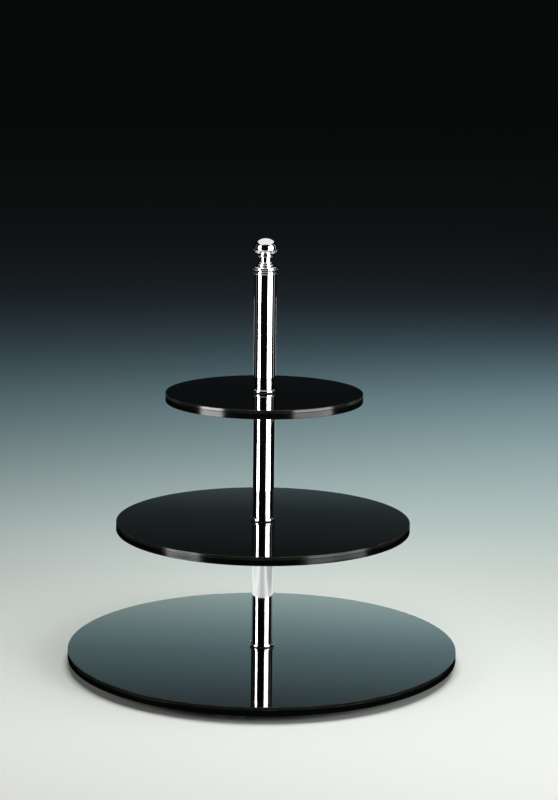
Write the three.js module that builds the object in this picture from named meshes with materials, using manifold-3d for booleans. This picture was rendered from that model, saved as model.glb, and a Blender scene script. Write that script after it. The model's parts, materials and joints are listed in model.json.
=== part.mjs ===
// A three-tier cake stand: three round glossy plates, clamped one above the other on a
// chromed column that comes apart in three screwed sections, with a turned finial on top
// and four rubber feet below.
// Millimetres, +Z up. The origin is on the surface that the stand rests on, under the column.

import * as THREE from 'three';
import { mergeVertices } from 'three/addons/utils/BufferGeometryUtils.js';
import Module from 'manifold-3d';

const wasm = await Module();
wasm.setup();

// Plates. Each one is a thin smoked cover sheet bonded on a thicker black core sheet.
const BASE_PLATE_RADIUS = 200;
const MIDDLE_PLATE_RADIUS = 150;
const TOP_PLATE_RADIUS = 100;
const CORE_THICK = 6;
const COVER_THICK = 3;
const PLATE_THICK = CORE_THICK + COVER_THICK;
const PLATE_HOLE_RADIUS = 4.5;
const OUTER_ARRIS = 0.5;
const SEAM_ARRIS = 0.3;

// Feet and the screws that hold them.
const FOOT_HEIGHT = 8;
const FOOT_RADIUS = 17;
const FOOT_TAPER = 1.5;
const FOOT_CIRCLE_RADIUS = 170;
const FOOT_COUNT = 4;
const FIRST_FOOT_ANGLE = -99.4;
const FOOT_RECESS_RADIUS = 6.5;
const FOOT_RECESS_DEPTH = 4.5;
const FOOT_SCREW_RADIUS = 2;
const FOOT_SCREW_HEAD_RADIUS = 4;
const FOOT_SCREW_HEAD_THICK = 2.4;
const FOOT_SCREW_BITE = 4.5;

// Column sections.
const TUBE_RADIUS = 11;
const TUBE_WALL = 1.2;
const TUBE_LENGTH = 120;
const COLLAR_RADIUS = 12.5;
const COLLAR_THICK = 3;
const SPIGOT_RADIUS = TUBE_RADIUS - TUBE_WALL - 0.05;
const SPIGOT_LENGTH = 12;
const HEAD_PLUG_LENGTH = 16;
const WASHER_THICK = 0.5;
const WASHER_RADIUS = 11.6;
const SUPPORT_WASHER_RADIUS = 10.6;

// The M8 thread that joins the sections, drawn at its outer diameter.
const STUD_RADIUS = 4;
const TAPPED_RADIUS = 4.1;
const STUD_ENGAGEMENT = 13;
const STUD_BURIED = 15;

// Fixing under the base plate.
const BACKING_WASHER_RADIUS = 20;
const BACKING_WASHER_THICK = 1.5;
const SCREW_HEAD_RADIUS = 7;
const SCREW_HEAD_THICK = 4;
const SOCKET_ACROSS_FLATS = 5;
const SOCKET_DEPTH = 2.5;
const FOOT_SOCKET_ACROSS_FLATS = 2.5;
const FOOT_SOCKET_DEPTH = 1.4;

// Ring round the top end of the column, and the finial above it.
const END_RING_RADIUS = 12;
const END_RING_HEIGHT = 3.5;
const FINIAL_WASHER_THICK = 0.7;
const FINIAL_RING_HEIGHT = 4.3;
const FLARE_RADIUS = 8.3;
const FLARE_TOP = 8.4;
const NECK_RADIUS = 5.75;
const NECK_TOP = 13;
const BEAD_RADIUS = 7.6;
const BEAD_TOP = 16.2;
const KNOB_RADIUS = 12.1;
const KNOB_EQUATOR = 22.3;
const KNOB_UPPER_HEIGHT = 10;
const KNOB_LOWER_HEIGHT = 7.2;
const FINIAL_BORE_DEPTH = 12;
const FINIAL_STUD_ENGAGEMENT = 10.5;

// Facets round each kind of piece.
const PLATE_FACETS = 48;
const COLUMN_FACETS = 24;
const SMALL_FACETS = 12;

// Heights of the surfaces that the column sections stand on.
const BASE_TOP = FOOT_HEIGHT + PLATE_THICK;
const SECTION_RISE = WASHER_THICK + COLLAR_THICK + TUBE_LENGTH;
const TIER_PITCH = SECTION_RISE + WASHER_THICK + PLATE_THICK;

const FINISH = {
  core: { color: 0x08080a, roughness: 0.06, metalness: 0 },
  cover: { color: 0x1b1713, roughness: 0.05, metalness: 0 },
  chrome: { color: 0xe9eaec, roughness: 0.05, metalness: 1 },
  steel: { color: 0xb4b6b8, roughness: 0.35, metalness: 1 },
  rubber: { color: 0x141414, roughness: 0.85, metalness: 0 },
};

function piece(name, geometry, finish) {
  const mesh = new THREE.Mesh(geometry, new THREE.MeshStandardMaterial(FINISH[finish]));
  mesh.name = name;
  return mesh;
}

// A solid of revolution about +Z. The profile lists [radius, height] pairs anticlockwise
// round the section, as seen with the axis on the left.
function turned(profile, facets) {
  const points = profile.map(([radius, height]) => new THREE.Vector2(radius, height));
  return new THREE.LatheGeometry(points, facets).rotateX(Math.PI / 2);
}

// Points on an elliptical arc of a profile, angles in degrees from the outward direction.
function arc(radius, height, across, up, from, to, steps) {
  const points = [];
  for (let i = 0; i <= steps; i += 1) {
    const angle = THREE.MathUtils.degToRad(from + ((to - from) * i) / steps);
    points.push([radius + across * Math.cos(angle), height + up * Math.sin(angle)]);
  }
  return points;
}

function ring(inner, outer, bottom, top, facets) {
  return turned([[inner, bottom], [outer, bottom], [outer, top], [inner, top], [inner, bottom]], facets);
}

function rod(radius, bottom, top, facets) {
  return turned([[0, bottom], [radius, bottom], [radius, top], [0, top]], facets);
}

function toSolid(geometry) {
  const bare = geometry.clone();
  bare.deleteAttribute('normal');
  bare.deleteAttribute('uv');
  const merged = mergeVertices(bare, 1e-4);
  return new wasm.Manifold(new wasm.Mesh({
    numProp: 3,
    vertProperties: new Float32Array(merged.attributes.position.array),
    triVerts: new Uint32Array(merged.index.array),
  }));
}

function cutAway(geometry, cutters) {
  let solid = toSolid(geometry);
  for (const cutter of cutters) {
    solid = solid.subtract(toSolid(cutter));
  }
  const mesh = solid.getMesh();
  const result = new THREE.BufferGeometry();
  result.setAttribute('position', new THREE.BufferAttribute(new Float32Array(mesh.vertProperties), 3));
  result.setIndex(new THREE.BufferAttribute(new Uint32Array(mesh.triVerts), 1));
  return result;
}

function footPlaces() {
  const places = [];
  for (let i = 0; i < FOOT_COUNT; i += 1) {
    const angle = THREE.MathUtils.degToRad(FIRST_FOOT_ANGLE + (360 / FOOT_COUNT) * i);
    places.push([FOOT_CIRCLE_RADIUS * Math.cos(angle), FOOT_CIRCLE_RADIUS * Math.sin(angle)]);
  }
  return places;
}

// Core sheet, its lower surface at height 0, with both outer edges eased.
function coreSheet(radius) {
  return turned([
    [PLATE_HOLE_RADIUS, 0],
    [radius - OUTER_ARRIS, 0],
    [radius, OUTER_ARRIS],
    [radius, CORE_THICK - SEAM_ARRIS],
    [radius - SEAM_ARRIS, CORE_THICK],
    [PLATE_HOLE_RADIUS, CORE_THICK],
    [PLATE_HOLE_RADIUS, 0],
  ], PLATE_FACETS);
}

// Cover sheet, its lower surface at height 0.
function coverSheet(radius) {
  return turned([
    [PLATE_HOLE_RADIUS, 0],
    [radius - SEAM_ARRIS, 0],
    [radius, SEAM_ARRIS],
    [radius, COVER_THICK - OUTER_ARRIS],
    [radius - OUTER_ARRIS, COVER_THICK],
    [PLATE_HOLE_RADIUS, COVER_THICK],
    [PLATE_HOLE_RADIUS, 0],
  ], PLATE_FACETS);
}

function plate(name, radius, cutters = []) {
  const group = new THREE.Group();
  const core = coreSheet(radius);
  const cover = piece(`${name}_plate_cover`, coverSheet(radius), 'cover');
  cover.position.z = CORE_THICK;
  group.add(piece(`${name}_plate_core`, cutters.length ? cutAway(core, cutters) : core, 'core'));
  group.add(cover);
  return group;
}

// A rubber foot with a taper, and a recess below for its screw.
function footBody() {
  const neck = FOOT_SCREW_RADIUS + 0.15;
  return turned([
    [FOOT_RECESS_RADIUS, 0],
    [FOOT_RADIUS - FOOT_TAPER - 0.8, 0],
    [FOOT_RADIUS - FOOT_TAPER, 0.8],
    [FOOT_RADIUS, FOOT_HEIGHT - 0.8],
    [FOOT_RADIUS - 0.4, FOOT_HEIGHT],
    [neck, FOOT_HEIGHT],
    [neck, FOOT_RECESS_DEPTH],
    [FOOT_RECESS_RADIUS, FOOT_RECESS_DEPTH],
    [FOOT_RECESS_RADIUS, 0],
  ], COLUMN_FACETS);
}

// Cutter for a hexagon socket that opens downwards at height 0.
function hexSocket(acrossFlats, depth) {
  const corner = acrossFlats / Math.sqrt(3);
  return rod(corner, -1, depth, 6);
}

// Round-headed screw, the underside of its head facing up at height headThick.
function screw(headRadius, headThick, shankRadius, shankTop, socket) {
  const dome = arc(headRadius - 1.2, 1.2, 1.2, 1.2, -90, 0, 4);
  const body = turned([
    [0, 0],
    ...dome,
    [headRadius, headThick],
    [shankRadius, headThick],
    [shankRadius, shankTop - 0.6],
    [shankRadius - 0.6, shankTop],
    [0, shankTop],
  ], SMALL_FACETS);
  return cutAway(body, [socket]);
}

function footPieces(index, x, y) {
  const group = new THREE.Group();
  group.position.set(x, y, 0);
  const screwPiece = piece(`foot_screw_${index}`, screw(
    FOOT_SCREW_HEAD_RADIUS,
    FOOT_SCREW_HEAD_THICK,
    FOOT_SCREW_RADIUS,
    FOOT_SCREW_HEAD_THICK + FOOT_HEIGHT - FOOT_RECESS_DEPTH + FOOT_SCREW_BITE,
    hexSocket(FOOT_SOCKET_ACROSS_FLATS, FOOT_SOCKET_DEPTH),
  ), 'steel');
  screwPiece.position.z = FOOT_RECESS_DEPTH - FOOT_SCREW_HEAD_THICK;
  group.add(piece(`foot_${index}`, footBody(), 'rubber'));
  group.add(screwPiece);
  return group;
}

// Base plate, feet, and the screw and washers that hold the column to it.
function base() {
  const group = new THREE.Group();
  const pilots = footPlaces().map(([x, y]) => (
    rod(FOOT_SCREW_RADIUS + 0.1, -1, FOOT_SCREW_BITE + 0.3, SMALL_FACETS).translate(x, y, 0)
  ));
  const basePlate = plate('base', BASE_PLATE_RADIUS, pilots);
  basePlate.position.z = FOOT_HEIGHT;
  group.add(basePlate);
  footPlaces().forEach(([x, y], i) => group.add(footPieces(i + 1, x, y)));

  const rubberBottom = FOOT_HEIGHT - WASHER_THICK;
  const backingBottom = rubberBottom - BACKING_WASHER_THICK;
  const headBottom = backingBottom - SCREW_HEAD_THICK;
  group.add(piece('base_rubber_washer', ring(
    PLATE_HOLE_RADIUS, BACKING_WASHER_RADIUS, rubberBottom, FOOT_HEIGHT, COLUMN_FACETS,
  ), 'rubber'));
  group.add(piece('base_backing_washer', ring(
    PLATE_HOLE_RADIUS, BACKING_WASHER_RADIUS, backingBottom, rubberBottom, COLUMN_FACETS,
  ), 'steel'));
  const baseScrew = piece('base_screw', screw(
    SCREW_HEAD_RADIUS,
    SCREW_HEAD_THICK,
    STUD_RADIUS,
    BASE_TOP + STUD_ENGAGEMENT - headBottom,
    hexSocket(SOCKET_ACROSS_FLATS, SOCKET_DEPTH),
  ), 'steel');
  baseScrew.position.z = headBottom;
  group.add(baseScrew);
  return group;
}

// Plug in the foot of a tube. Its flange is the collar that stands on the plate.
function collarPlug() {
  return turned([
    [TAPPED_RADIUS, 0],
    ...arc(COLLAR_RADIUS - 1, 1, 1, 1, -90, 0, 4),
    ...arc(COLLAR_RADIUS - 1.3, COLLAR_THICK - 1.3, 1.3, 1.3, 0, 90, 4),
    [SPIGOT_RADIUS, COLLAR_THICK],
    [SPIGOT_RADIUS, COLLAR_THICK + SPIGOT_LENGTH],
    [TAPPED_RADIUS, COLLAR_THICK + SPIGOT_LENGTH],
    [TAPPED_RADIUS, 0],
  ], COLUMN_FACETS);
}

// One column section on a surface at height 0: seat washer, collar plug, tube and head plug.
function section(name) {
  const group = new THREE.Group();
  const collar = piece(`${name}_collar_plug`, collarPlug(), 'chrome');
  collar.position.z = WASHER_THICK;
  const tubeBottom = WASHER_THICK + COLLAR_THICK;
  const tubeTop = tubeBottom + TUBE_LENGTH;
  group.add(piece(`${name}_seat_washer`, ring(
    PLATE_HOLE_RADIUS, WASHER_RADIUS, 0, WASHER_THICK, COLUMN_FACETS,
  ), 'rubber'));
  group.add(collar);
  group.add(piece(`${name}_tube`, ring(
    TUBE_RADIUS - TUBE_WALL, TUBE_RADIUS, tubeBottom, tubeTop, COLUMN_FACETS,
  ), 'chrome'));
  group.add(piece(`${name}_head_plug`, ring(
    TAPPED_RADIUS, SPIGOT_RADIUS, tubeTop - HEAD_PLUG_LENGTH, tubeTop, COLUMN_FACETS,
  ), 'steel'));
  return group;
}

function stud(name, bottom, top) {
  return piece(name, turned([
    [0, bottom],
    [STUD_RADIUS - 0.6, bottom],
    [STUD_RADIUS, bottom + 0.6],
    [STUD_RADIUS, top - 0.6],
    [STUD_RADIUS - 0.6, top],
    [0, top],
  ], SMALL_FACETS), 'steel');
}

// What a section carries: a stud, a washer and the next plate above it.
function carriedPlate(sectionName, plateName, radius) {
  const group = new THREE.Group();
  const held = plate(plateName, radius);
  held.position.z = SECTION_RISE + WASHER_THICK;
  group.add(stud(`${sectionName}_stud`, SECTION_RISE - STUD_BURIED, TIER_PITCH + STUD_ENGAGEMENT));
  group.add(piece(`${plateName}_support_washer`, ring(
    PLATE_HOLE_RADIUS, SUPPORT_WASHER_RADIUS, SECTION_RISE, SECTION_RISE + WASHER_THICK, COLUMN_FACETS,
  ), 'rubber'));
  group.add(held);
  return group;
}

// Ring pressed round the top end of the upper tube.
function endRing() {
  const inner = TUBE_RADIUS + 0.1;
  return turned([
    [inner, 0],
    ...arc(END_RING_RADIUS - 0.6, 0.6, 0.6, 0.6, -90, 0, 3),
    ...arc(END_RING_RADIUS - 0.6, END_RING_HEIGHT - 0.6, 0.6, 0.6, 0, 90, 3),
    [inner, END_RING_HEIGHT],
    [inner, 0],
  ], COLUMN_FACETS);
}

// Turned finial, the underside of its lowest ring at height 0, with a tapped blind hole.
function finialKnob() {
  const flareSteps = 5;
  const flare = [];
  for (let i = 0; i <= flareSteps; i += 1) {
    const t = i / flareSteps;
    const radius = NECK_RADIUS + (FLARE_RADIUS - NECK_RADIUS) * (1 - t) ** 2;
    flare.push([radius, FINIAL_RING_HEIGHT + (FLARE_TOP - FINIAL_RING_HEIGHT) * t]);
  }
  const beadHalf = (BEAD_TOP - NECK_TOP) / 2;
  const beadDepth = BEAD_RADIUS - NECK_RADIUS;
  const joinRadius = NECK_RADIUS + 0.6;
  const joinAngle = -THREE.MathUtils.radToDeg(Math.acos(joinRadius / KNOB_RADIUS));
  return turned([
    [0, FINIAL_BORE_DEPTH],
    [TAPPED_RADIUS, FINIAL_BORE_DEPTH],
    [TAPPED_RADIUS, 0],
    ...arc(COLLAR_RADIUS - 1.2, 1.2, 1.2, 1.2, -90, 0, 4),
    ...arc(COLLAR_RADIUS - 1.2, FINIAL_RING_HEIGHT - 1.2, 1.2, 1.2, 0, 90, 4),
    ...flare,
    [NECK_RADIUS, NECK_TOP],
    ...arc(NECK_RADIUS, NECK_TOP + beadHalf, beadDepth, beadHalf, -80, 80, 6),
    ...arc(0, KNOB_EQUATOR, KNOB_RADIUS, KNOB_LOWER_HEIGHT, joinAngle, 0, 6),
    ...arc(0, KNOB_EQUATOR, KNOB_RADIUS, KNOB_UPPER_HEIGHT, 10, 80, 7),
    [0, KNOB_EQUATOR + KNOB_UPPER_HEIGHT],
  ], COLUMN_FACETS);
}

// Upper section's end ring, and the finial that screws into its head plug.
function crown() {
  const group = new THREE.Group();
  const ringPiece = piece('upper_end_ring', endRing(), 'chrome');
  ringPiece.position.z = SECTION_RISE - END_RING_HEIGHT;
  group.add(ringPiece);
  const finialBottom = SECTION_RISE + FINIAL_WASHER_THICK;
  group.add(piece('finial_seat_washer', ring(
    PLATE_HOLE_RADIUS, SUPPORT_WASHER_RADIUS, SECTION_RISE, finialBottom, COLUMN_FACETS,
  ), 'rubber'));
  const finial = new THREE.Group();
  finial.position.z = finialBottom;
  finial.add(piece('finial_knob', finialKnob(), 'chrome'));
  finial.add(stud('finial_stud', -FINIAL_WASHER_THICK - FINIAL_STUD_ENGAGEMENT, FINIAL_BORE_DEPTH - 0.5));
  group.add(finial);
  return group;
}

function tier(level, ...groups) {
  const group = new THREE.Group();
  group.position.z = BASE_TOP + TIER_PITCH * level;
  groups.forEach((child) => group.add(child));
  return group;
}

const stand = new THREE.Group();
stand.add(base());
stand.add(tier(0, section('lower'), carriedPlate('lower', 'middle', MIDDLE_PLATE_RADIUS)));
stand.add(tier(1, section('middle'), carriedPlate('middle', 'top', TOP_PLATE_RADIUS)));
stand.add(tier(2, section('upper'), crown()));

export default stand;
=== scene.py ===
"""Looks of a tiered cake stand: three glossy black plates on a chromed, screw-together column.

Metres, +Z up, the front is towards -Y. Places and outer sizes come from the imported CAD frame.
"""

import json
import math

import bpy
from mathutils import Matrix, Vector

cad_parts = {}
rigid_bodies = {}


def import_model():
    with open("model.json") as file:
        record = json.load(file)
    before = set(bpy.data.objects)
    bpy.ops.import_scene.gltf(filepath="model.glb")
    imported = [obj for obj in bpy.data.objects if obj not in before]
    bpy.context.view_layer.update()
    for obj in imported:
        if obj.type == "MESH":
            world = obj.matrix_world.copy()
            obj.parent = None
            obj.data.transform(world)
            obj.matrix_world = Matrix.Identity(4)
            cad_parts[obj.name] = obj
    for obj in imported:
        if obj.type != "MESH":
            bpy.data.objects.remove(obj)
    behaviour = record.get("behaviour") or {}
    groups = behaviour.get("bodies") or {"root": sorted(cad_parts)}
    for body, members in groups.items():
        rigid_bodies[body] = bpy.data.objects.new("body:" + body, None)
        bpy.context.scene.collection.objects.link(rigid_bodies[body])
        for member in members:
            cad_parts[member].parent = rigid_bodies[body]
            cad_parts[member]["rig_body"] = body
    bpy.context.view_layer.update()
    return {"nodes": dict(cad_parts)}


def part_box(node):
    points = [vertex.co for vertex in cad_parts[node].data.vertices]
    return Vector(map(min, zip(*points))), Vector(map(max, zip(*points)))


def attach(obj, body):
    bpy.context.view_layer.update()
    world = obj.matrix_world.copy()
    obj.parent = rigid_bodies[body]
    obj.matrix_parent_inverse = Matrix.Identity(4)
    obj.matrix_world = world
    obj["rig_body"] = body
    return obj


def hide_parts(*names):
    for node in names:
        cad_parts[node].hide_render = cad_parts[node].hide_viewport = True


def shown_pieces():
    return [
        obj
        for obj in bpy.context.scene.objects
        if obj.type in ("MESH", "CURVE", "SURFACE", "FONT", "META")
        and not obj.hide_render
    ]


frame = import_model()

# ---------------------------------------------------------------- sizes the frame doesn't give
MM = 0.001
PLATE_HOLE = 4.5 * MM
TAPPED_HOLE = 4.1 * MM
TUBE_WALL = 1.2 * MM
SPIGOT_RADIUS = 9.75 * MM
COLLAR_THICK = 3.0 * MM
THREAD_PITCH = 1.25 * MM
THREAD_DEPTH = 0.62 * MM
THREAD_EASE = 0.8 * MM
SCREW_EASE = 0.6 * MM
FEET = 4

# ---------------------------------------------------------------- mesh fineness
PLATE_SEGMENTS = 288
COLUMN_SEGMENTS = 144
SMALL_SEGMENTS = 48
RINGS_PER_PITCH = 8
SHARP_ANGLE = math.radians(35)
BRACED_LENGTH = 1.2 * MM
BRACE = 0.12 * MM
RUBBED_RADIUS = 1.6 * MM
RUBBED_TURN = 0.08

# ---------------------------------------------------------------- camera
CAMERA_PLACE = (0.0, -2.1347, 0.6717)
CAMERA_LENS = 96.5
CAMERA_PAN = -0.40
CAMERA_TILT = 10.53
CAMERA_ROLL = 0.646

# ---------------------------------------------------------------- stage
FLOOR_HALF_WIDTH = 30
TABLE_HALF_WIDTH = 0.55
TABLE_FRONT = -0.40
TABLE_BACK = 0.50
TABLE_HEIGHT = 0.1 * MM
FINIAL_CARD_HALF_WIDTH = 60 * MM
FINIAL_CARD_HEIGHT = 0.292
BACKDROP_PLACE = 0.27
BACKDROP_HALF_WIDTH = 0.8
BACKDROP_TOP = 1.2
HIGH_BACKDROP_BOTTOM = 0.12
BACKDROP_LEAN = 0.8
SURROUND_SHEETS = 12
SURROUND_ANGLE = 125
SURROUND_RADIUS = 0.95
SURROUND_BOTTOM = 0.2
SURROUND_TOP = 1.15

# ---------------------------------------------------------------- light
FIRST_MIRROR_DEPTH = 1.5
SECOND_MIRROR_DEPTH = 2.5
SPOT_RADIUS = 0.3
STRIP_DISTANCE = 1.3
STRIP_BOTTOM = -0.6
STRIP_TOP = 1.2
EDGE_STRIP_TOP = 0.12
# Each band is (bottom, top, share of the side strip's radiance).
EDGE_STRIP_BANDS = (
    (STRIP_BOTTOM, -0.3, 0.3),
    (-0.3, -0.07, 0.45),
    (-0.07, EDGE_STRIP_TOP, 1.15),
)


# ================================================================ outlines
def fillet(corners, steps=6):
    """A closed outline. Each corner is (radius, height, rounding), and is rounded by an arc."""
    points = []
    for i, (radius, height, rounding) in enumerate(corners):
        here = Vector((radius, height))
        if rounding == 0:
            points.append((radius, height))
            continue
        back = (Vector(corners[i - 1][:2]) - here).normalized()
        ahead = (Vector(corners[(i + 1) % len(corners)][:2]) - here).normalized()
        half = back.angle(ahead) / 2
        centre = here + (back + ahead).normalized() * (rounding / math.sin(half))
        start = here + back * (rounding / math.tan(half)) - centre
        end = here + ahead * (rounding / math.tan(half)) - centre
        first = math.atan2(start.y, start.x)
        turn = math.remainder(math.atan2(end.y, end.x) - first, 2 * math.pi)
        for k in range(steps + 1):
            angle = first + turn * k / steps
            across = centre.x + rounding * math.cos(angle)
            up = centre.y + rounding * math.sin(angle)
            points.append((across, up))
    return points


def braced(points, closed):
    """The outline with a point close to each end of its long straight stretches.

    Without them the smooth shading of a rounded edge would spread over the flat next to it.
    """
    result = []
    for i, here in enumerate(points):
        result.append(here)
        ahead = points[(i + 1) % len(points)]
        last = i + 1 == len(points)
        if callable(here[0]) or callable(ahead[0]) or (last and not closed):
            continue
        length = math.dist(here, ahead)
        if length > BRACED_LENGTH:
            for share in (BRACE / length, 1 - BRACE / length):
                result.append(tuple(Vector(here).lerp(Vector(ahead), share)))
    return result


def rubbed(points):
    """1 for each point of an outline on a tight outward bend, where use wears it, else 0."""
    marks = []
    for i, here in enumerate(points):
        near = (points[i - 1], here, points[(i + 1) % len(points)])
        if any(callable(point[0]) for point in near):
            marks.append(0.0)
            continue
        back, middle, ahead = (Vector(point) for point in near)
        first = middle - back
        second = ahead - middle
        turn = math.atan2(first.x * second.y - first.y * second.x, first.dot(second))
        tight = turn > RUBBED_TURN and (first.length + second.length) / 2 / turn < RUBBED_RADIUS
        marks.append(1.0 if tight else 0.0)
    return marks


def arc(radius, height, across, up, start, end, steps):
    """Points on an elliptical arc of an outline, angles in degrees from the outward direction."""
    points = []
    for k in range(steps + 1):
        angle = math.radians(start + (end - start) * k / steps)
        points.append((radius + across * math.cos(angle), height + up * math.sin(angle)))
    return points


def hexagon(across_flats):
    """Radius of a hexagonal ring as a function of the angle."""
    def radius(angle):
        from_flat = math.remainder(angle - math.pi / 6, math.pi / 3)
        return across_flats / 2 / math.cos(from_flat)

    return radius


def thread(radius, bottom, top, ease):
    """Rings of a right-hand screw thread, eased to its root over the last stretch at its top."""
    root_share = 0.15
    flank_share = 0.7

    def ring(height):
        """Radius of the thread at a height, as a function of the angle."""
        def at(angle):
            turns = height / THREAD_PITCH - angle / (2 * math.pi)
            flank = abs(2 * (turns - math.floor(turns)) - 1)
            crest = min(1.0, max(0.0, (flank - root_share) / flank_share))
            limit = radius - max(0.0, height - (top - ease))
            return min(limit, radius - THREAD_DEPTH * (1 - crest))
        return at

    count = round((top - bottom) / THREAD_PITCH * RINGS_PER_PITCH)
    heights = [bottom + (top - bottom) * k / count for k in range(count + 1)]
    return [(ring(height), height) for height in heights]


# ================================================================ solids
def loft(name, rings, segments, centre):
    """A closed solid of rings (radius, height) round an upright axis, listed anticlockwise.

    A radius may be a function of the angle. A first and last radius of 0 close on the axis, where
    the faces are triangles, and otherwise the last ring joins the first.
    """
    vertices = []
    loops = []
    marks = []
    for (radius, height), mark in zip(rings, rubbed(rings)):
        start = len(vertices)
        if radius == 0:
            vertices.append((centre[0], centre[1], height))
            loops.append([start] * segments)
            marks.append(mark)
            continue
        marks += [mark] * segments
        for k in range(segments):
            angle = 2 * math.pi * k / segments
            reach = radius(angle) if callable(radius) else radius
            x = centre[0] + reach * math.cos(angle)
            y = centre[1] + reach * math.sin(angle)
            vertices.append((x, y, height))
        loops.append(list(range(start, start + segments)))
    if rings[0][0] != 0:
        loops.append(loops[0])
    faces = []
    for low, high in zip(loops, loops[1:]):
        for k in range(segments):
            ahead = (k + 1) % segments
            corners = [low[k], low[ahead], high[ahead], high[k]]
            faces.append(list(dict.fromkeys(corners)))
    mesh = bpy.data.meshes.new(name)
    mesh.from_pydata(vertices, [], faces)
    mesh.shade_smooth()
    mesh.set_sharp_from_angle(angle=SHARP_ANGLE)
    mesh.attributes.new("rubbed", "FLOAT", "POINT").data.foreach_set("value", marks)
    solid = bpy.data.objects.new(name, mesh)
    bpy.context.scene.collection.objects.link(solid)
    return solid


def detailed(node, rings, segments, material):
    """The finished form of a CAD node, on the node's own axis and on its body."""
    low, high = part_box(node)
    centre = ((low.x + high.x) / 2, (low.y + high.y) / 2)
    outline = braced(rings, closed=rings[0][0] != 0)
    solid = loft(f"{node}_detailed", outline, segments, centre)
    solid.data.materials.append(material)
    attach(solid, frame["nodes"][node]["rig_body"])
    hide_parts(node)
    return solid


def extent(node):
    """(radius, bottom, top) of a round CAD node."""
    low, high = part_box(node)
    return (high.x - low.x) / 2, low.z, high.z


def plate_sheet(node, seam_above, material):
    """One sheet of a bonded plate, with a tight rounding at the seam and a softer one outside."""
    radius, bottom, top = extent(node)
    seam = 0.25 * MM
    outer = 0.35 * MM
    hole_edge = 0.2 * MM
    rings = fillet([
        (PLATE_HOLE, bottom, hole_edge),
        (radius, bottom, outer if seam_above else seam),
        (radius, top, seam if seam_above else outer),
        (PLATE_HOLE, top, hole_edge),
    ])
    return detailed(node, rings, PLATE_SEGMENTS, material)


def flat_ring(node, hole, rounding, material):
    """A washer, tube or plug: a plain ring with eased edges."""
    radius, bottom, top = extent(node)
    rings = fillet([
        (hole, bottom, rounding),
        (radius, bottom, rounding),
        (radius, top, rounding),
        (hole, top, rounding),
    ], steps=4)
    return detailed(node, rings, COLUMN_SEGMENTS, material)


def rubber_washer(node):
    """A thin washer that keeps the metal off the acrylic."""
    return flat_ring(node, PLATE_HOLE, 0.15 * MM, rubber)


def collar_plug(node):
    """The flange at the foot of a tube, with the spigot that plugs the tube."""
    radius, bottom, top = extent(node)
    shoulder = bottom + COLLAR_THICK
    hole_edge = 0.5 * MM
    lower_edge = 0.9 * MM
    upper_edge = 1.3 * MM
    spigot_edge = 0.6 * MM
    rings = fillet([
        (TAPPED_HOLE, bottom, hole_edge),
        (radius, bottom, lower_edge),
        (radius, shoulder, upper_edge),
        (SPIGOT_RADIUS, shoulder, 0),
        (SPIGOT_RADIUS, top, spigot_edge),
        (TAPPED_HOLE, top, hole_edge),
    ], steps=8)
    return detailed(node, rings, COLUMN_SEGMENTS, chrome)


def stud(node):
    """A threaded stud, eased at both ends."""
    radius, bottom, top = extent(node)
    rings = [(0, bottom), (radius - THREAD_EASE, bottom)]
    rings += thread(radius, bottom + THREAD_EASE, top, THREAD_EASE)
    rings.append((0, top))
    return detailed(node, rings, SMALL_SEGMENTS, steel)


def socket_screw(node, head, head_thick, across_flats, depth, shank, plain):
    """A button-headed screw with a hexagon socket that opens downwards.

    Head and shank are radii, and plain is the length of the shank without thread.
    """
    _, bottom, top = extent(node)
    edge = 1.2 * MM
    chamfer = 0.2 * MM
    mouth_depth = 0.3 * MM
    mouth = across_flats / math.sqrt(3) + 0.15 * MM
    socket = hexagon(across_flats)
    shoulder = bottom + head_thick
    rings = [
        (0, bottom + depth),
        (socket, bottom + depth),
        (socket, bottom + mouth_depth),
        (mouth, bottom),
    ]
    rings += arc(head - edge, bottom + edge, edge, edge, -90, 0, 8)
    rings += [(head, shoulder - chamfer), (head - chamfer, shoulder), (shank, shoulder)]
    rings += thread(shank, shoulder + plain, top, SCREW_EASE)
    rings.append((0, top))
    return detailed(node, rings, SMALL_SEGMENTS, steel)


def foot(node):
    """A tapered rubber foot with a screw recess and two shallow grip grooves underneath."""
    radius, bottom, top = extent(node)
    recess = 6.5 * MM
    recess_top = bottom + 4.5 * MM
    neck = 2.15 * MM
    taper = 1.5 * MM
    groove = 0.4 * MM
    groove_radii = (9.2 * MM, 12.2 * MM)
    corners = [(recess, bottom, 0.4 * MM)]
    for middle in groove_radii:
        corners += [
            (middle - 2 * groove, bottom, 0),
            (middle - groove, bottom + groove, 0),
            (middle + groove, bottom + groove, 0),
            (middle + 2 * groove, bottom, 0),
        ]
    corners += [
        (radius - taper, bottom, 0.8 * MM),
        (radius, top, 0.6 * MM),
        (neck, top, 0),
        (neck, recess_top, 0),
        (recess, recess_top, 0.3 * MM),
    ]
    return detailed(node, fillet(corners), COLUMN_SEGMENTS, rubber)


def end_ring(node, hole):
    """The ring round the top of the upper tube, with a rim that is nearly a half circle."""
    radius, bottom, top = extent(node)
    hole_edge = 0.2 * MM
    rim = 0.48 * (top - bottom)
    rings = fillet([
        (hole, bottom, hole_edge),
        (radius, bottom, rim),
        (radius, top, rim),
        (hole, top, hole_edge),
    ], steps=8)
    return detailed(node, rings, COLUMN_SEGMENTS, chrome)


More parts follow.
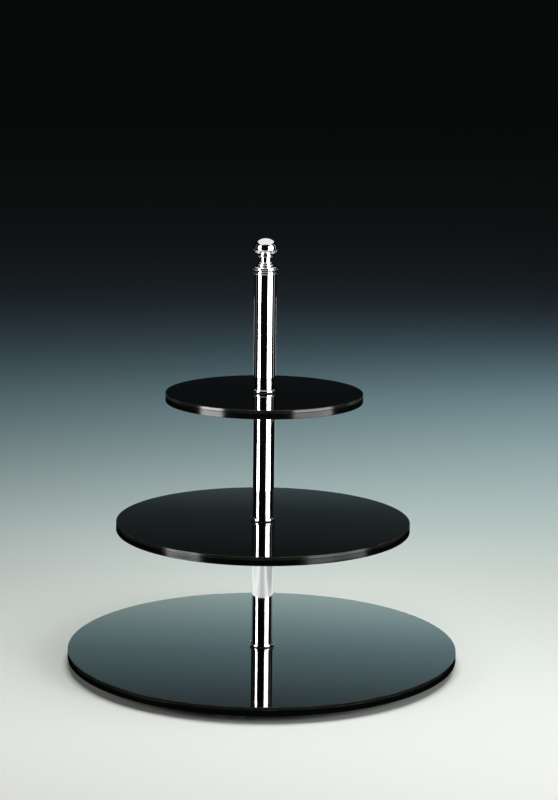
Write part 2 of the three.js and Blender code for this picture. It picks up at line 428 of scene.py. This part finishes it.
def finial_knob(node):
    """Turned finial: a stack of three rings, a thin neck, a bead, and a ball flattened below.

    Heights are counted from the underside.
    """
    low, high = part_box(node)
    bottom = low.z
    base_radius = 12.5 * MM
    base_top = 3.4 * MM
    base_edge = base_top / 2
    steps = ((8.8 * MM, 3.4 * MM, 6.0 * MM), (7.3 * MM, 6.0 * MM, 7.6 * MM))
    neck = 5.75 * MM
    neck_bottom = 8.2 * MM
    neck_flare = 0.6 * MM
    bead_bottom = 13.0 * MM
    bead_top = 16.2 * MM
    bead_radius = 7.6 * MM
    ball_radius = 12.1 * MM
    equator = 22.3 * MM
    lower_half = 7.2 * MM
    upper_half = high.z - bottom - equator
    bore_depth = 12.0 * MM
    chamfer = 0.5 * MM
    join = -math.degrees(math.acos((neck + neck_flare) / ball_radius))
    rings = [
        (0, bore_depth),
        (TAPPED_HOLE, bore_depth),
        (TAPPED_HOLE, chamfer),
        (TAPPED_HOLE + chamfer, 0),
    ]
    rings += arc(base_radius - base_edge, base_edge, base_edge, base_edge, -90, 0, 10)
    rings += arc(base_radius - base_edge, base_top - base_edge, base_edge, base_edge, 0, 90, 10)
    for radius, step_bottom, step_top in steps:
        edge = (step_top - step_bottom) / 2
        rings += arc(radius - edge, step_bottom + edge, edge, edge, -80, 80, 16)
    rings += [(neck, neck_bottom), (neck, bead_bottom)]
    bead_half = (bead_top - bead_bottom) / 2
    rings += arc(neck, bead_bottom + bead_half, bead_radius - neck, bead_half, -85, 85, 18)
    rings += arc(0, equator, ball_radius, lower_half, join, 0, 24)
    rings += arc(0, equator, ball_radius, upper_half, 3, 87, 30)
    rings.append((0, equator + upper_half))
    rings = [(radius, bottom + height) for radius, height in rings]
    return detailed(node, rings, COLUMN_SEGMENTS, chrome)


# ================================================================ materials
class Surface:
    """A new procedural material, with short calls for the nodes that it is made of."""

    def __init__(self, name, **values):
        self.material = bpy.data.materials.new(name)
        self.material.use_nodes = True
        self.nodes = self.material.node_tree.nodes
        self.shader = self.nodes["Principled BSDF"]
        for socket, value in values.items():
            self.shader.inputs[socket.replace("_", " ")].default_value = value
        self.place = self.nodes.new("ShaderNodeTexCoord").outputs["Object"]

    def link(self, source, target):
        """Joins an output to an input."""
        self.material.node_tree.links.new(source, target)

    def noise(self, scale, detail, stretch=(1, 1, 1)):
        """Noise of a scale in lumps a metre, squeezed along some axes."""
        mapping = self.nodes.new("ShaderNodeMapping")
        mapping.inputs["Scale"].default_value = stretch
        self.link(self.place, mapping.inputs["Vector"])
        noise = self.nodes.new("ShaderNodeTexNoise")
        noise.inputs["Scale"].default_value = scale
        noise.inputs["Detail"].default_value = detail
        self.link(mapping.outputs["Vector"], noise.inputs["Vector"])
        return noise.outputs["Fac"]

    def ranged(self, value, source, target):
        """The value moved from a source range to a target range, and kept inside it."""
        node = self.nodes.new("ShaderNodeMapRange")
        node.inputs["From Min"].default_value = source[0]
        node.inputs["From Max"].default_value = source[1]
        node.inputs["To Min"].default_value = target[0]
        node.inputs["To Max"].default_value = target[1]
        self.link(value, node.inputs["Value"])
        return node.outputs["Result"]

    def combined(self, operation, first, second):
        """The result of a mathematical operation on two values."""
        node = self.nodes.new("ShaderNodeMath")
        node.operation = operation
        self.link(first, node.inputs[0])
        self.link(second, node.inputs[1])
        return node.outputs["Value"]

    def mixed(self, factor, first, second):
        """A colour between two others, each a triple or another node's colour."""
        node = self.nodes.new("ShaderNodeMix")
        node.data_type = "RGBA"
        inputs = [socket for socket in node.inputs if socket.type == "RGBA"]
        for socket, value in zip(inputs, (first, second)):
            if isinstance(value, tuple):
                socket.default_value = (*value, 1)
            else:
                self.link(value, socket)
        self.link(factor, node.inputs["Factor"])
        return next(socket for socket in node.outputs if socket.type == "RGBA")

    def upward(self):
        """The share of the surface normal that points up or down, from 0 on a wall to 1."""
        split = self.nodes.new("ShaderNodeSeparateXYZ")
        geometry = self.nodes.new("ShaderNodeNewGeometry")
        self.link(geometry.outputs["Normal"], split.inputs["Vector"])
        node = self.nodes.new("ShaderNodeMath")
        node.operation = "ABSOLUTE"
        self.link(split.outputs["Z"], node.inputs[0])
        return node.outputs["Value"]

    def worn_edges(self, patches):
        """Where tight outward edges are rubbed, in patches."""
        edge = self.nodes.new("ShaderNodeAttribute")
        edge.attribute_name = "rubbed"
        patch = self.ranged(self.noise(patches, 3), (0.42, 0.62), (0, 1))
        return self.combined("MULTIPLY", edge.outputs["Fac"], patch)

    def bump(self, height, strength, distance):
        """Raises the surface by a value, over a distance in metres."""
        node = self.nodes.new("ShaderNodeBump")
        node.inputs["Strength"].default_value = strength
        node.inputs["Distance"].default_value = distance
        self.link(height, node.inputs["Height"])
        self.link(node.outputs["Normal"], self.shader.inputs["Normal"])

    def finish(self, colour, roughness):
        """Gives the shader its colour and roughness, and returns the material."""
        self.link(colour, self.shader.inputs["Base Color"])
        self.link(roughness, self.shader.inputs["Roughness"])
        return self.material


def acrylic(name, ior, face, edge, worn):
    """Polished cast acrylic: near-black faces with faint smears, a tinted edge with cutting lines."""
    surface = Surface(name, IOR=ior)
    upward = surface.upward()
    body = surface.mixed(surface.ranged(upward, (0.2, 0.9), (0, 1)), edge, face)
    colour = surface.mixed(surface.worn_edges(60), body, worn)
    smears = surface.ranged(surface.noise(9, 5), (0.35, 0.75), (0.008, 0.05))
    cut = surface.ranged(upward, (0.1, 0.8), (0.13, 0.0))
    cutting_lines = surface.noise(1, 2, (8, 8, 900))
    surface.bump(cutting_lines, strength=0.35, distance=0.2 * MM)
    return surface.finish(colour, surface.combined("ADD", smears, cut))


def polished_chrome(name):
    """Bright plating with a trace of the drawn tube's lengthwise lines below it."""
    surface = Surface(name, Metallic=1.0)
    drawing_lines = surface.noise(900, 2, (1, 1, 0.01))
    tone = surface.mixed(surface.noise(60, 3), (0.80, 0.81, 0.83), (0.88, 0.88, 0.89))
    colour = surface.mixed(surface.worn_edges(300), tone, (0.70, 0.69, 0.67))
    roughness = surface.ranged(surface.noise(70, 4), (0.3, 0.7), (0.018, 0.032))
    surface.bump(drawing_lines, strength=0.015, distance=0.02 * MM)
    return surface.finish(colour, roughness)


def zinc_plate(name):
    """Zinc-plated steel, dull and slightly mottled, rubbed brighter on its edges."""
    surface = Surface(name, Metallic=1.0)
    tone = surface.mixed(surface.noise(350, 4), (0.46, 0.48, 0.50), (0.64, 0.63, 0.60))
    colour = surface.mixed(surface.worn_edges(500), tone, (0.80, 0.79, 0.77))
    roughness = surface.ranged(surface.noise(900, 3), (0.3, 0.7), (0.24, 0.44))
    surface.bump(surface.noise(2500, 3), strength=0.15, distance=0.03 * MM)
    return surface.finish(colour, roughness)


def moulded_rubber(name):
    """Matt black rubber with a fine moulded grain and a dusty bloom on its edges."""
    surface = Surface(name, Specular_IOR_Level=0.3)
    tone = surface.mixed(surface.noise(250, 4), (0.010, 0.010, 0.010), (0.022, 0.022, 0.021))
    colour = surface.mixed(surface.worn_edges(400), tone, (0.06, 0.058, 0.054))
    roughness = surface.ranged(surface.noise(700, 3), (0.3, 0.7), (0.62, 0.88))
    surface.bump(surface.noise(3000, 3), strength=0.35, distance=0.05 * MM)
    return surface.finish(colour, roughness)


black_acrylic = acrylic(
    "black_acrylic",
    ior=1.33,
    face=(0.0016, 0.0018, 0.002),
    edge=(0.0018, 0.0022, 0.0023),
    worn=(0.008, 0.008, 0.008),
)
smoked_acrylic = acrylic(
    "smoked_acrylic",
    ior=1.45,
    face=(0.0008, 0.00095, 0.00105),
    edge=(0.012, 0.0112, 0.0078),
    worn=(0.05, 0.046, 0.036),
)
chrome = polished_chrome("polished_chrome")
steel = zinc_plate("zinc_plated_steel")
rubber = moulded_rubber("moulded_rubber")


# ================================================================ the stand
def bonded_plate(name):
    """A plate of two sheets, the thinner one on top."""
    plate_sheet(f"{name}_plate_core", True, black_acrylic)
    plate_sheet(f"{name}_plate_cover", False, smoked_acrylic)


def column_section(name):
    """A tube with its foot, its head and the washer that it stands on."""
    tube_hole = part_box(f"{name}_tube")[1].x - TUBE_WALL
    rubber_washer(f"{name}_seat_washer")
    collar_plug(f"{name}_collar_plug")
    flat_ring(f"{name}_tube", tube_hole, 0.25 * MM, chrome)
    flat_ring(f"{name}_head_plug", TAPPED_HOLE, 0.6 * MM, steel)


def under_fixing():
    """What clamps the column to the base plate from below."""
    rubber_washer("base_rubber_washer")
    flat_ring("base_backing_washer", PLATE_HOLE, 0.3 * MM, steel)
    socket_screw(
        "base_screw",
        head=7 * MM,
        head_thick=4 * MM,
        across_flats=5 * MM,
        depth=2.5 * MM,
        shank=4 * MM,
        plain=2 * MM,
    )


def screwed_foot(number):
    """A foot and the screw in its recess."""
    foot(f"foot_{number}")
    socket_screw(
        f"foot_screw_{number}",
        head=4 * MM,
        head_thick=2.4 * MM,
        across_flats=2.5 * MM,
        depth=1.4 * MM,
        shank=2 * MM,
        plain=1 * MM,
    )


bonded_plate("base")
under_fixing()
for number in range(1, FEET + 1):
    screwed_foot(number)
for section, held in (("lower", "middle"), ("middle", "top"), ("upper", None)):
    column_section(section)
    if held:
        stud(f"{section}_stud")
        rubber_washer(f"{held}_support_washer")
        bonded_plate(held)
ring_gap = 0.05 * MM
end_ring("upper_end_ring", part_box("upper_tube")[1].x + ring_gap)
rubber_washer("finial_seat_washer")
finial_knob("finial_knob")
stud("finial_stud")


# ================================================================ stage, light and camera
def seen_by(thing, camera=False, diffuse=False, glossy=True, shadow=False):
    """Which rays a staged object or a light answers."""
    thing.visible_camera = camera
    thing.visible_diffuse = diffuse
    thing.visible_glossy = glossy
    thing.visible_shadow = shadow
    thing.visible_transmission = camera


def receivers(name, wanted):
    """A collection of the pieces that pass a test, for lights that only they answer."""
    group = bpy.data.collections.new(name)
    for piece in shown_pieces():
        if wanted(piece):
            group.objects.link(piece)
    return group


def only_for(thing, group):
    """Lets only the pieces of a group answer a light or a glowing sheet."""
    thing.light_linking.receiver_collection = group
    return thing


def sheet(name, corners, material):
    """A staged four-cornered sheet."""
    mesh = bpy.data.meshes.new(name)
    mesh.from_pydata(corners, [], [(0, 1, 2, 3)])
    mesh.materials.append(material)
    thing = bpy.data.objects.new(name, mesh)
    bpy.context.scene.collection.objects.link(thing)
    return thing


def level(left, right, front, back, height):
    """Corners of a level rectangle that faces up."""
    return [
        (left, front, height),
        (right, front, height),
        (right, back, height),
        (left, back, height),
    ]


def upright(left, right, bottom, top):
    """Corners of an upright rectangle between two places (x, y)."""
    return [(*left, bottom), (*right, bottom), (*right, top), (*left, top)]


def axis_share(nodes, link, axis, near, far):
    """How far a place lies between two coordinates on one axis, from 0 to 1."""
    place = nodes.new("ShaderNodeTexCoord")
    split = nodes.new("ShaderNodeSeparateXYZ")
    share = nodes.new("ShaderNodeMapRange")
    share.inputs["From Min"].default_value = near
    share.inputs["From Max"].default_value = far
    link(place.outputs["Object"], split.inputs["Vector"])
    link(split.outputs[axis], share.inputs["Value"])
    return share.outputs["Result"]


def graded(nodes, link, share, stops):
    """A colour that runs through stops, each a share from 0 to 1 and a colour."""
    ramp = nodes.new("ShaderNodeValToRGB")
    elements = ramp.color_ramp.elements
    while len(elements) < len(stops):
        elements.new(0.5)
    for element, (position, colour) in zip(elements, stops):
        element.position = position
        element.color = (*colour, 1)
    link(share, ramp.inputs["Fac"])
    return ramp.outputs["Color"]


def pale_paper():
    """Matt paper, pale round the stand, with painted shade: its colour turns darker and bluer behind
    the stand out to about 3 m, where the light falls off, and pale again further off.
    """
    material = bpy.data.materials.new("pale_paper")
    material.use_nodes = True
    nodes = material.node_tree.nodes
    link = material.node_tree.links.new
    shader = nodes["Principled BSDF"]
    shader.inputs["Roughness"].default_value = 0.9
    shader.inputs["Specular IOR Level"].default_value = 0.1
    near = -0.5
    far = 6.0
    # These colours are painted shade and a painted cool tint of light, not the paper's own colour.
    places = [
        (near, (0.83, 0.838, 0.80)),
        (0.25, (0.78, 0.84, 0.79)),
        (0.75, (0.66, 0.82, 0.80)),
        (1.10, (0.58, 0.80, 0.82)),
        (1.50, (0.50, 0.80, 0.88)),
        (2.00, (0.40, 0.66, 0.80)),
        (2.80, (0.36, 0.50, 0.62)),
        (4.50, (0.60, 0.70, 0.75)),
        (far, (0.93, 0.95, 0.95)),
    ]
    stops = [((place - near) / (far - near), colour) for place, colour in places]
    share = axis_share(nodes, link, "Y", near, far)
    link(graded(nodes, link, share, stops), shader.inputs["Base Color"])
    return material


def glow(name, see_through):
    """A plain glowing material, with its nodes, its link call and its emission shader."""
    material = bpy.data.materials.new(name)
    material.use_nodes = True
    nodes = material.node_tree.nodes
    link = material.node_tree.links.new
    nodes.clear()
    light = nodes.new("ShaderNodeEmission")
    output = nodes.new("ShaderNodeOutputMaterial")
    if see_through:
        both = nodes.new("ShaderNodeAddShader")
        link(light.outputs["Emission"], both.inputs[0])
        link(nodes.new("ShaderNodeBsdfTransparent").outputs["BSDF"], both.inputs[1])
        link(both.outputs["Shader"], output.inputs["Surface"])
    else:
        link(light.outputs["Emission"], output.inputs["Surface"])
    return material, nodes, link, light


def ray_depth(nodes, link, operation, depth):
    """1 for the rays that have been mirrored more or less often than a depth, else 0."""
    test = nodes.new("ShaderNodeMath")
    test.operation = operation
    test.inputs[1].default_value = depth
    link(nodes.new("ShaderNodeLightPath").outputs["Ray Depth"], test.inputs[0])
    return test.outputs["Value"]


def backdrop_glow(half_width, top):
    """Light of the backdrop that the plates' upper faces mirror: pale low down, dark higher up.

    It also grows from the left to the right.
    """
    material, nodes, link, light = glow("backdrop_glow", True)
    heights = [
        (0.030, (1.15, 1.55, 1.48)),
        (0.055, (0.86, 1.19, 1.16)),
        (0.083, (0.55, 0.83, 0.86)),
        (0.107, (0.38, 0.58, 0.62)),
        (0.132, (0.27, 0.42, 0.455)),
        (0.160, (0.175, 0.26, 0.285)),
        (0.190, (0.085, 0.122, 0.13)),
        (0.203, (0.053, 0.074, 0.079)),
        (0.220, (0.038, 0.051, 0.055)),
        (0.257, (0.019, 0.023, 0.025)),
        (0.330, (0.0060, 0.0078, 0.0082)),
    ]
    stops = [(height / top, colour) for height, colour in heights]
    share = axis_share(nodes, link, "Z", 0, top)
    link(graded(nodes, link, share, stops), light.inputs["Color"])
    lean = BACKDROP_LEAN * half_width
    strength = nodes.new("ShaderNodeMapRange")
    strength.inputs["To Min"].default_value = 1 - lean
    strength.inputs["To Max"].default_value = 1 + lean
    link(axis_share(nodes, link, "X", -half_width, half_width), strength.inputs["Value"])
    link(strength.outputs["Result"], light.inputs["Strength"])
    return material


def backdrop(name, place, half_width, bottom, top, material):
    """An upright stretch of the backdrop behind the stand, for reflections only."""
    left = (-half_width, place)
    right = (half_width, place)
    card = sheet(name, upright(left, right, bottom, top), material)
    seen_by(card)
    return card


def mirrored_table(front, back):
    """A glowing sheet in place of the pale table top, which only the metal mirrors, with its light
    painted brighter in two bands to either side and dimmer in the middle and at the ends.

    It ends close in front of the stand, so that the middle of the metal stays dark.
    """
    material, nodes, link, light = glow("table_glow", False)
    tint = Vector((0.98, 1.0, 0.98))
    # Painted brightness of the table's light across the sheet, for painted reflections in the metal.
    places = [
        (-TABLE_HALF_WIDTH, 0.50),
        (-0.28, 1.02),
        (-0.12, 0.66),
        (0.00, 0.53),
        (0.12, 0.75),
        (0.21, 1.00),
        (0.30, 0.52),
        (TABLE_HALF_WIDTH, 0.40),
    ]
    stops = [((place / TABLE_HALF_WIDTH + 1) / 2, tint * brightness) for place, brightness in places]
    share = axis_share(nodes, link, "X", -TABLE_HALF_WIDTH, TABLE_HALF_WIDTH)
    link(graded(nodes, link, share, stops), light.inputs["Color"])
    corners = level(-TABLE_HALF_WIDTH, TABLE_HALF_WIDTH, front, back, TABLE_HEIGHT)
    table = sheet("mirrored_table", corners, material)
    seen_by(table)
    return table


def finial_card(half_width, height):
    """A level card below the finial, mirrored in the undersides of the turned end."""
    material, _, _, light = glow("finial_glow", True)
    light.inputs["Color"].default_value = (0.72, 0.75, 0.71, 1)
    corners = level(-half_width, half_width, -half_width, half_width, height)
    card = sheet("finial_card", corners, material)
    seen_by(card)
    return card


def lamp(name, data, place, aim):
    """A light with its settings, at a place and facing its aim."""
    light = bpy.data.objects.new(name, data)
    light.location = place
    light.rotation_euler = (Vector(aim) - Vector(place)).to_track_quat("-Z", "Y").to_euler()
    bpy.context.scene.collection.objects.link(light)
    return light


def softbox(name, place, size, radiance, aim):
    """A soft rectangular light, its size (across, up), that the pieces mirror and nothing else."""
    data = bpy.data.lights.new(name, "AREA")
    data.shape = "RECTANGLE"
    data.size, data.size_y = size
    data.energy = radiance * math.pi * size[0] * size[1]
    light = lamp(name, data, place, aim)
    seen_by(light)
    return light


def side_strip(name, inner, outer, bottom, top, radiance):
    """An upright softbox between two angles, in degrees from the front and positive to the right."""
    middle = math.radians((inner + outer) / 2)
    width = 2 * STRIP_DISTANCE * math.tan(math.radians(abs(outer - inner) / 2))
    height = (bottom + top) / 2
    place = (STRIP_DISTANCE * math.sin(middle), -STRIP_DISTANCE * math.cos(middle), height)
    return softbox(name, place, (width, top - bottom), radiance, (0, 0, height))


def soft_spot(name, place, aim, cone, power):
    """A spot light with wide soft edges, for the floor and other dull surfaces only."""
    data = bpy.data.lights.new(name, "SPOT")
    data.energy = power
    data.spot_size = math.radians(cone)
    data.spot_blend = 1.0
    data.shadow_soft_size = SPOT_RADIUS
    light = lamp(name, data, place, aim)
    seen_by(light, diffuse=True, glossy=False, shadow=True)
    return light


def second_bounce(light):
    """Makes a light show only in a reflection of a reflection."""
    light.data.use_nodes = True
    nodes = light.data.node_tree.nodes
    link = light.data.node_tree.links.new
    deep = ray_depth(nodes, link, "GREATER_THAN", SECOND_MIRROR_DEPTH)
    link(deep, nodes["Emission"].inputs["Strength"])
    return light


def surround_glow(low, high):
    """Dim light of the dark room round the stand, that the plates mirror when seen from the sides."""
    material, nodes, link, light = glow("surround_glow", True)
    stops = [
        (0.0, (0.75, 0.82, 0.84)),
        (0.3, (0.22, 0.25, 0.26)),
        (0.65, (0.05, 0.058, 0.06)),
        (1.0, (0, 0, 0)),
    ]
    share = axis_share(nodes, link, "Z", low, high)
    link(graded(nodes, link, share, stops), light.inputs["Color"])
    shallow = ray_depth(nodes, link, "LESS_THAN", FIRST_MIRROR_DEPTH)
    link(shallow, light.inputs["Strength"])
    return material


def surround(name, angle, material):
    """Upright sheets along a circle round the stand, up to an angle on either side of the front."""
    spots = []
    for k in range(SURROUND_SHEETS + 1):
        turn = math.radians(-angle + 2 * angle * k / SURROUND_SHEETS)
        spots.append((SURROUND_RADIUS * math.sin(turn), -SURROUND_RADIUS * math.cos(turn)))
    for k, (left, right) in enumerate(zip(spots, spots[1:]), 1):
        card = sheet(f"{name}_{k}", upright(left, right, SURROUND_BOTTOM, SURROUND_TOP), material)
        seen_by(card)
        only_for(card, plates)


def named(*starts):
    """A test for the pieces whose names start in one of some ways."""
    return lambda piece: piece.name.startswith(starts)


plates = receivers("plates", lambda piece: "_plate_" in piece.name)
base_cover = receivers("base_cover", named("base_plate_cover"))
held_covers = receivers("held_covers", named("middle_plate_cover", "top_plate_cover"))
turned_end = receivers("turned_end", named("finial_knob", "upper_end_ring"))
fittings = receivers("fittings", lambda piece: "_plate_" not in piece.name)

near = -FLOOR_HALF_WIDTH
far = FLOOR_HALF_WIDTH
floor = sheet("floor", level(near, far, near, far, 0), pale_paper())
seen_by(floor, camera=True, diffuse=True, glossy=False, shadow=True)
only_for(mirrored_table(TABLE_FRONT, TABLE_BACK), fittings)
only_for(finial_card(FINIAL_CARD_HALF_WIDTH, FINIAL_CARD_HEIGHT), turned_end)

# The backdrops stand 1 mm apart, because sheets in one plane hide each other.
backdrop_light = backdrop_glow(BACKDROP_HALF_WIDTH, BACKDROP_TOP)
for name, place, bottom, group in (
    ("low_backdrop", BACKDROP_PLACE, 0.0, base_cover),
    ("high_backdrop", BACKDROP_PLACE + 1 * MM, HIGH_BACKDROP_BOTTOM, held_covers),
):
    card = backdrop(name, place, BACKDROP_HALF_WIDTH, bottom, BACKDROP_TOP, backdrop_light)
    only_for(card, group)
surround("surround", SURROUND_ANGLE, surround_glow(SURROUND_BOTTOM, SURROUND_TOP))

# The overhead light and the spots light the dull surfaces, and the others are only mirrored.
overhead = softbox("overhead", (0.2, -0.12, 1.25), (1.2, 1.0), 4.3, aim=(0.2, -0.12, 0))
seen_by(overhead, diffuse=True, glossy=False, shadow=True)
soft_spot("left_fill", (-1.126, -0.65, 0.5), aim=(0, 0, 0), cone=64, power=15.0)
soft_spot("right_fill", (0.996, -0.836, 0.5), aim=(0, 0, 0), cone=64, power=28.0)
soft_spot("far_fill", (1.0, 0.9, 1.2), aim=(0.75, 1.2, 0), cone=92, power=15.0)
only_for(softbox("plate_sky", (0.1, 0.15, 1.3), (1.3, 1.3), 1.5, aim=(0.1, 0.15, 0)), plates)
only_for(softbox("metal_sky", (0.0, 0.435, 1.2), (1.6, 2.03), 0.95, aim=(0, 0.435, 0)), fittings)
only_for(side_strip("rear_strip", 168, 192, STRIP_BOTTOM, 0.2, 2.0), fittings)
only_for(side_strip("left_rim_strip", -104, -114, 0.0, STRIP_TOP, 0.12), fittings)
only_for(side_strip("right_rim_strip", 102, 112, 0.0, STRIP_TOP, 0.35), fittings)

# The metal mirrors the whole of each side strip. The plates' edges mirror it in three bands, and
# the plates' faces only mirror its image in the metal.
for side, narrow, wide, radiance in (
    ("left", (-50, -72), (-47, -75), 16.0),
    ("right", (28, 74.5), (33, 82), 8.0),
):
    whole = side_strip(f"{side}_strip", *narrow, STRIP_BOTTOM, STRIP_TOP, radiance)
    only_for(whole, fittings)
    deep = side_strip(f"{side}_deep_strip", *narrow, EDGE_STRIP_TOP, STRIP_TOP, radiance)
    only_for(second_bounce(deep), plates)
    for number, (bottom, top, share) in enumerate(EDGE_STRIP_BANDS, 1):
        band = side_strip(f"{side}_edge_strip_{number}", *wide, bottom, top, share * radiance)
        only_for(band, plates)

world = bpy.data.worlds.new("dark_studio")
world.use_nodes = True
background = world.node_tree.nodes["Background"]
background.inputs["Color"].default_value = (0.85, 0.98, 1.0, 1)
background.inputs["Strength"].default_value = 0.0032
bpy.context.scene.world = world
bpy.context.scene.view_settings.view_transform = "Standard"

camera_data = bpy.data.cameras.new("camera")
camera_data.lens = CAMERA_LENS
camera = bpy.data.objects.new("camera", camera_data)
pan = Matrix.Rotation(math.radians(CAMERA_PAN), 4, "Z")
tilt = Matrix.Rotation(math.radians(90 - CAMERA_TILT), 4, "X")
roll = Matrix.Rotation(math.radians(CAMERA_ROLL), 4, "Z")
camera.matrix_world = Matrix.Translation(CAMERA_PLACE) @ (pan @ tilt @ roll)
bpy.context.scene.collection.objects.link(camera)
bpy.context.scene.camera = camera
